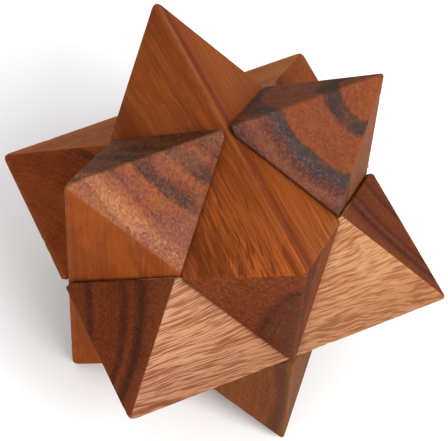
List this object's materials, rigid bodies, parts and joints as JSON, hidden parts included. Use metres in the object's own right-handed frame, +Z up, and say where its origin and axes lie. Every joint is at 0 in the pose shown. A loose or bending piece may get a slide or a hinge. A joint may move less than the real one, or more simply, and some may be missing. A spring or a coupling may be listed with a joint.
{
  "type": "wooden burr puzzle",
  "caption": "Wooden star burr puzzle: alike notched square bars with chisel ends lock into a pointed star and slide apart in halves along its diagonals.",
  "frame": {"origin": "on the ground under the star's centre, at the height of the flats of the two lower chisel edges that it stands on", "axes": "+Z up; the left and right bars stand along Z at -X and +X, the front and back bars lie along X at -Y and +Y, and the top and bottom bars lie along Y"},
  "size_m": [0.0726, 0.0726, 0.0726],
  "materials": {
    "top_bar_wood": "oiled, orange-brown with fine dark streaks",
    "bottom_bar_wood": "oiled, mid brown",
    "front_bar_wood": "oiled, pale pinkish tan with brown ribbon grain",
    "back_bar_wood": "oiled, dark reddish brown",
    "left_bar_wood": "oiled, orange-brown with dark banded ends",
    "right_bar_wood": "oiled, orange-brown with blue-grey bands"
  },
  "bodies": {
    "bottom_bar": {"bottom_bar": "bottom_bar_wood"},
    "front_bar": {"front_bar": "front_bar_wood"},
    "left_bar": {"left_bar": "left_bar_wood"},
    "right_bar": {"right_bar": "right_bar_wood"},
    "back_bar": {"back_bar": "back_bar_wood"},
    "top_bar": {"top_bar": "top_bar_wood"}
  },
  "joints": [
    {"name": "front_right_half_slide", "type": "slide", "parent": "bottom_bar", "child": "front_bar", "axis": [0.5774, -0.5774, 0.5774], "range_m": [0, 0.045]},
    {"name": "back_left_half_slide", "type": "slide", "parent": "bottom_bar", "child": "left_bar", "axis": [-0.5774, 0.5774, 0.5774], "range_m": [0, 0.045]},
    {"name": "back_right_half_slide", "type": "slide", "parent": "front_bar", "child": "right_bar", "axis": [0.5774, 0.5774, 0.5774], "range_m": [0, 0.045]},
    {"name": "back_bar_follows_right", "type": "slide", "parent": "left_bar", "child": "back_bar", "axis": [0.5774, 0.5774, 0.5774], "range_m": [0, 0.045]},
    {"name": "top_bar_follows_left", "type": "slide", "parent": "right_bar", "child": "top_bar", "axis": [-0.5774, 0.5774, 0.5774], "range_m": [0, 0.045]}
  ],
  "couplings": [
    {"joint": "back_bar_follows_right", "follows": "back_right_half_slide", "ratio": 1},
    {"joint": "top_bar_follows_left", "follows": "back_left_half_slide", "ratio": 1}
  ]
}
